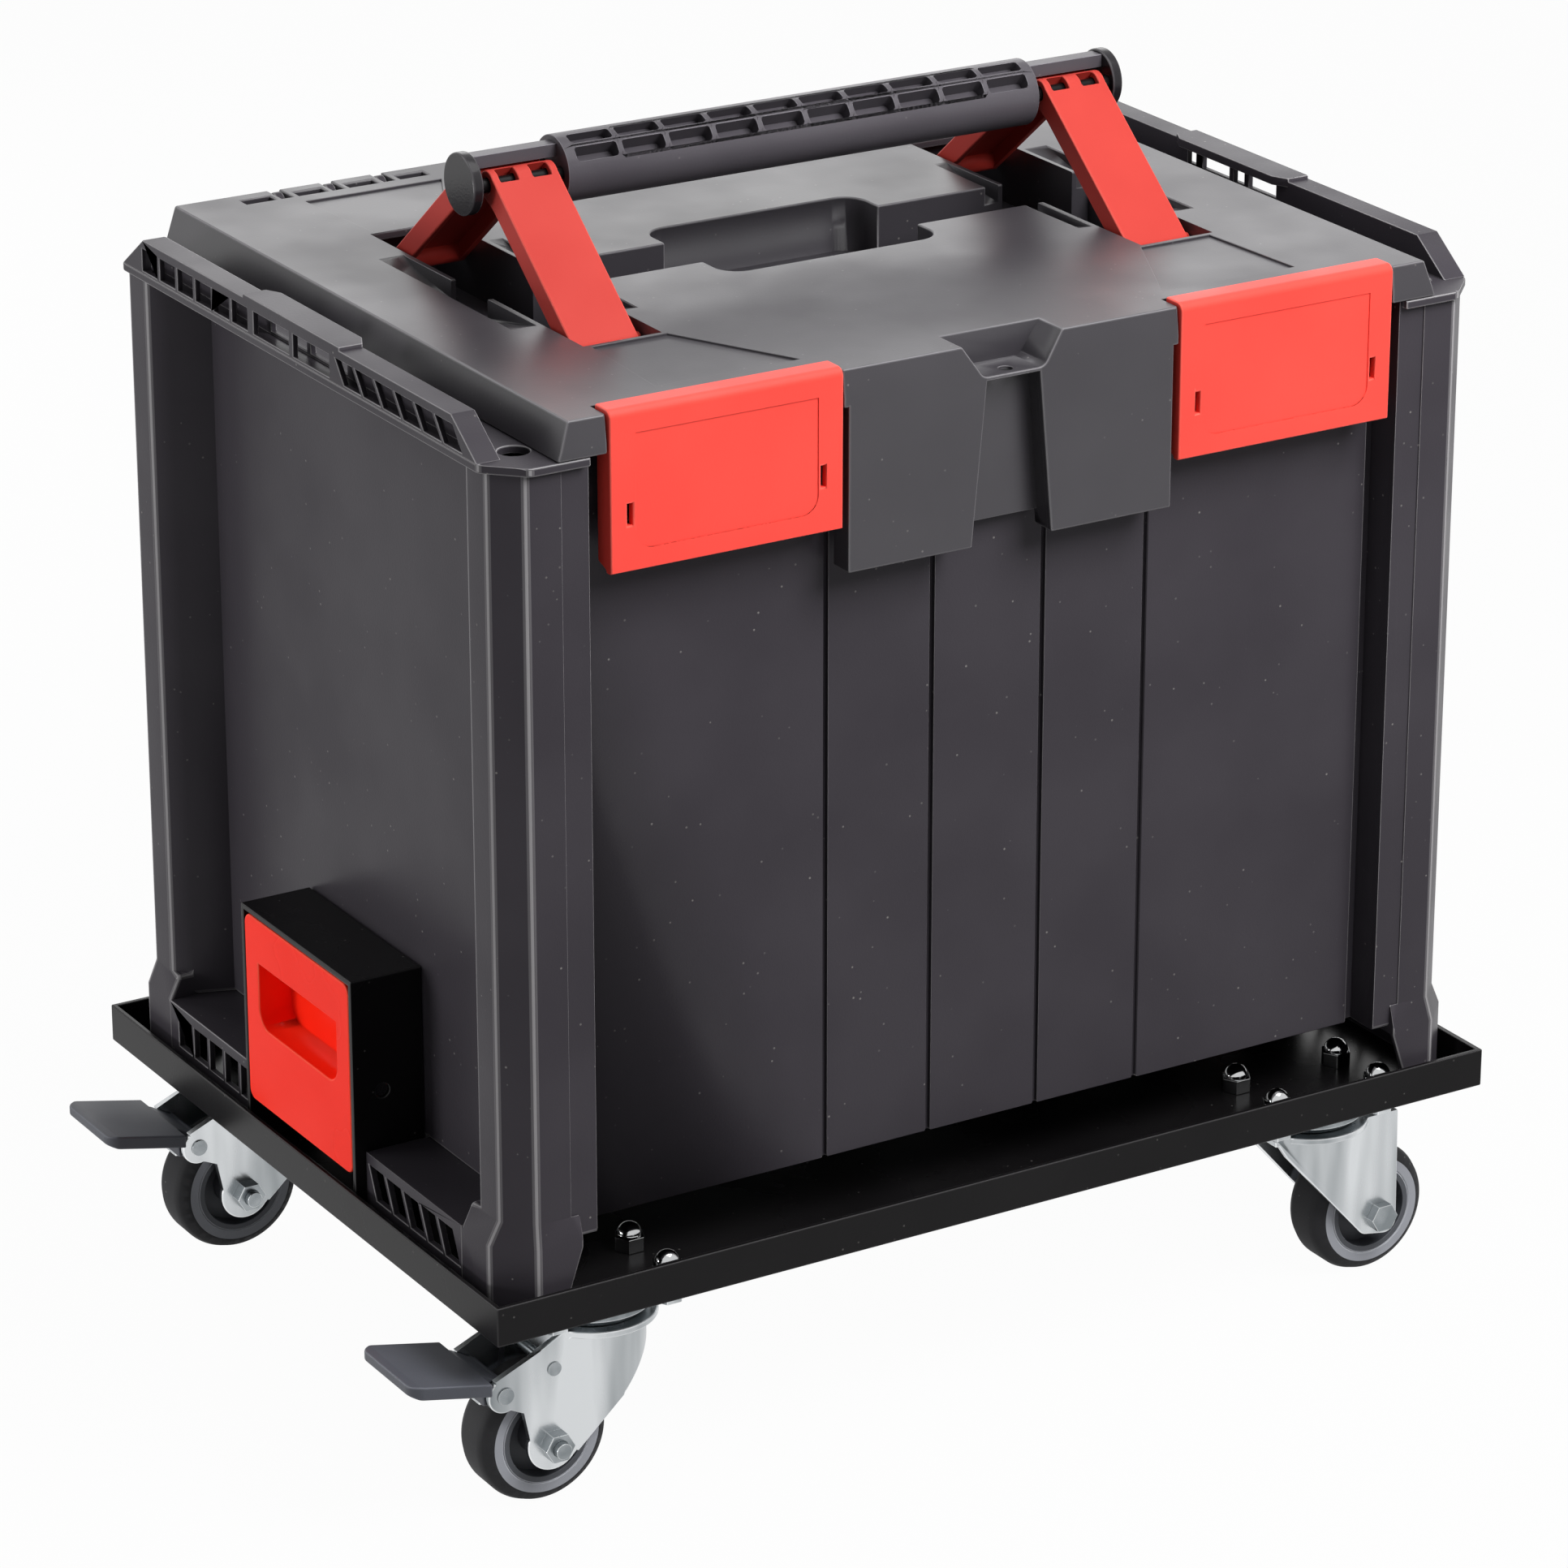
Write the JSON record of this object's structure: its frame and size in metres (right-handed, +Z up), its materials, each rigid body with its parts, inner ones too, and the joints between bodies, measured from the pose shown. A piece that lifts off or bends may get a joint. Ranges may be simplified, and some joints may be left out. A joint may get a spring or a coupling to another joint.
{
  "type": "toolbox",
  "caption": "Stackable moulded tool case with a hinged latching lid and fold-down handle, locked by side levers on a steel roller tray with swivel castors.",
  "frame": {"origin": "middle of the overall box, on the floor under the castors", "axes": "+Z up, +X to the right along the case seen from the latch side, +Y to the rear"},
  "size_m": [0.4414, 0.2986, 0.4435],
  "materials": {
    "case_plastic": "fine moulded grain, semi-matt black",
    "red_plastic": "satin moulded red",
    "powder_coat": "gloss black powder coat",
    "zinc_steel": "bright zinc plate",
    "chrome_steel": "polished chrome plate",
    "tread_rubber": "matt dark grey elastomer",
    "hub_plastic": "matt mid-grey moulding",
    "pedal_plastic": "matt dark grey moulding"
  },
  "bodies": {
    "base": {"roller_tray": "powder_coat", "case_tub": "case_plastic", "stacking_rail_left": "case_plastic", "stacking_rail_right": "case_plastic", "foot_runner_left_front": "case_plastic", "foot_runner_left_rear": "case_plastic", "foot_runner_right_front": "case_plastic", "foot_runner_right_rear": "case_plastic", "lid_hinge_rod": "zinc_steel", "lock_housing_left": "powder_coat", "lock_housing_right": "powder_coat", "castor_bolts": "zinc_steel", "cap_nuts": "chrome_steel", "castor_plate_front_left": "zinc_steel", "castor_plate_rear_left": "zinc_steel", "castor_plate_front_right": "zinc_steel", "castor_plate_rear_right": "zinc_steel", "kingpin_front_left": "zinc_steel", "kingpin_rear_left": "zinc_steel", "kingpin_front_right": "zinc_steel", "kingpin_rear_right": "zinc_steel"},
    "lid": {"lid": "case_plastic", "latch_pin_left": "zinc_steel", "latch_pin_right": "zinc_steel"},
    "latch_left": {"latch_left": "red_plastic"},
    "latch_right": {"latch_right": "red_plastic"},
    "handle": {"handle_grip": "case_plastic", "handle_rods": "zinc_steel", "handle_end_caps": "case_plastic"},
    "handle_arm_left_front": {"handle_arm_left_front": "red_plastic"},
    "handle_arm_left_rear": {"handle_arm_left_rear": "red_plastic"},
    "handle_arm_right_front": {"handle_arm_right_front": "red_plastic"},
    "handle_arm_right_rear": {"handle_arm_right_rear": "red_plastic"},
    "lock_lever_left": {"lock_lever_left": "red_plastic"},
    "lock_lever_right": {"lock_lever_right": "red_plastic"},
    "castor_front_left": {"castor_fork_front_left": "zinc_steel", "axle_bolt_front_left": "zinc_steel", "brake_rivets_front_left": "zinc_steel"},
    "wheel_front_left": {"tread_front_left": "tread_rubber", "wheel_hub_front_left": "hub_plastic"},
    "brake_pedal_front_left": {"brake_pedal_front_left": "pedal_plastic", "brake_strip_front_left": "zinc_steel"},
    "castor_rear_left": {"castor_fork_rear_left": "zinc_steel", "axle_bolt_rear_left": "zinc_steel", "brake_rivets_rear_left": "zinc_steel"},
    "wheel_rear_left": {"tread_rear_left": "tread_rubber", "wheel_hub_rear_left": "hub_plastic"},
    "brake_pedal_rear_left": {"brake_pedal_rear_left": "pedal_plastic", "brake_strip_rear_left": "zinc_steel"},
    "castor_front_right": {"castor_fork_front_right": "zinc_steel", "axle_bolt_front_right": "zinc_steel"},
    "wheel_front_right": {"tread_front_right": "tread_rubber", "wheel_hub_front_right": "hub_plastic"},
    "castor_rear_right": {"castor_fork_rear_right": "zinc_steel", "axle_bolt_rear_right": "zinc_steel"},
    "wheel_rear_right": {"tread_rear_right": "tread_rubber", "wheel_hub_rear_right": "hub_plastic"}
  },
  "joints": [
    {"name": "lid_hinge", "type": "hinge", "parent": "base", "child": "lid", "pos_m": [0.01435, 0.1404, 0.39], "axis": [-1, 0, 0], "range_deg": [0, 95]},
    {"name": "latch_left_hinge", "type": "hinge", "parent": "lid", "child": "latch_left", "pos_m": [-0.09755, -0.1385, 0.3885], "axis": [-1, 0, 0], "range_deg": [0, 100]},
    {"name": "latch_right_hinge", "type": "hinge", "parent": "lid", "child": "latch_right", "pos_m": [0.12625, -0.1385, 0.3885], "axis": [-1, 0, 0], "range_deg": [0, 100]},
    {"name": "handle_slide", "type": "slide", "parent": "lid", "child": "handle", "axis": [0, 0, -1], "range_m": [0, 0.0531]},
    {"name": "arm_left_front_hinge", "type": "hinge", "parent": "handle", "child": "handle_arm_left_front", "pos_m": [-0.0979, -0.006, 0.4315], "axis": [-1, 0, 0], "range_deg": [0, 44.5]},
    {"name": "arm_left_rear_hinge", "type": "hinge", "parent": "handle", "child": "handle_arm_left_rear", "pos_m": [-0.0979, 0.006, 0.4315], "axis": [1, 0, 0], "range_deg": [0, 44.5]},
    {"name": "arm_right_front_hinge", "type": "hinge", "parent": "handle", "child": "handle_arm_right_front", "pos_m": [0.1266, -0.006, 0.4315], "axis": [-1, 0, 0], "range_deg": [0, 44.5]},
    {"name": "arm_right_rear_hinge", "type": "hinge", "parent": "handle", "child": "handle_arm_right_rear", "pos_m": [0.1266, 0.006, 0.4315], "axis": [1, 0, 0], "range_deg": [0, 44.5]},
    {"name": "lock_left_hinge", "type": "hinge", "parent": "base", "child": "lock_lever_left", "pos_m": [-0.17765, 0, 0.124], "axis": [0, -1, 0], "range_deg": [0, 18], "stiffness_Nm_per_rad": 0.1, "springref_deg": -17.19},
    {"name": "lock_right_hinge", "type": "hinge", "parent": "base", "child": "lock_lever_right", "pos_m": [0.20635, 0, 0.124], "axis": [0, 1, 0], "range_deg": [0, 18], "stiffness_Nm_per_rad": 0.1, "springref_deg": -17.19},
    {"name": "swivel_front_left", "type": "hinge", "parent": "base", "child": "castor_front_left", "pos_m": [-0.14015, -0.122, 0.066], "axis": [0, 0, 1], "continuous": true},
    {"name": "wheel_front_left_spin", "type": "hinge", "parent": "castor_front_left", "child": "wheel_front_left", "pos_m": [-0.16415, -0.122, 0.025], "axis": [0, 1, 0], "continuous": true},
    {"name": "brake_front_left_hinge", "type": "hinge", "parent": "castor_front_left", "child": "brake_pedal_front_left", "pos_m": [-0.18265, -0.122, 0.048], "axis": [0, -1, 0], "range_deg": [0, 14]},
    {"name": "swivel_rear_left", "type": "hinge", "parent": "base", "child": "castor_rear_left", "pos_m": [-0.14015, 0.112, 0.066], "axis": [0, 0, 1], "continuous": true},
    {"name": "wheel_rear_left_spin", "type": "hinge", "parent": "castor_rear_left", "child": "wheel_rear_left", "pos_m": [-0.16415, 0.112, 0.025], "axis": [0, 1, 0], "continuous": true},
    {"name": "brake_rear_left_hinge", "type": "hinge", "parent": "castor_rear_left", "child": "brake_pedal_rear_left", "pos_m": [-0.18265, 0.112, 0.048], "axis": [0, -1, 0], "range_deg": [0, 14]},
    {"name": "swivel_front_right", "type": "hinge", "parent": "base", "child": "castor_front_right", "pos_m": [0.16135, -0.122, 0.066], "axis": [0, 0, 1], "continuous": true},
    {"name": "wheel_front_right_spin", "type": "hinge", "parent": "castor_front_right", "child": "wheel_front_right", "pos_m": [0.18535, -0.122, 0.025], "axis": [0, 1, 0], "continuous": true},
    {"name": "swivel_rear_right", "type": "hinge", "parent": "base", "child": "castor_rear_right", "pos_m": [0.16135, 0.112, 0.066], "axis": [0, 0, 1], "continuous": true},
    {"name": "wheel_rear_right_spin", "type": "hinge", "parent": "castor_rear_right", "child": "wheel_rear_right", "pos_m": [0.18535, 0.112, 0.025], "axis": [0, 1, 0], "continuous": true}
  ],
  "couplings": [
    {"joint": "arm_left_front_hinge", "follows": "handle_slide", "rad_per_m": 14.594},
    {"joint": "arm_left_rear_hinge", "follows": "handle_slide", "rad_per_m": 14.594},
    {"joint": "arm_right_front_hinge", "follows": "handle_slide", "rad_per_m": 14.594},
    {"joint": "arm_right_rear_hinge", "follows": "handle_slide", "rad_per_m": 14.594}
  ]
}
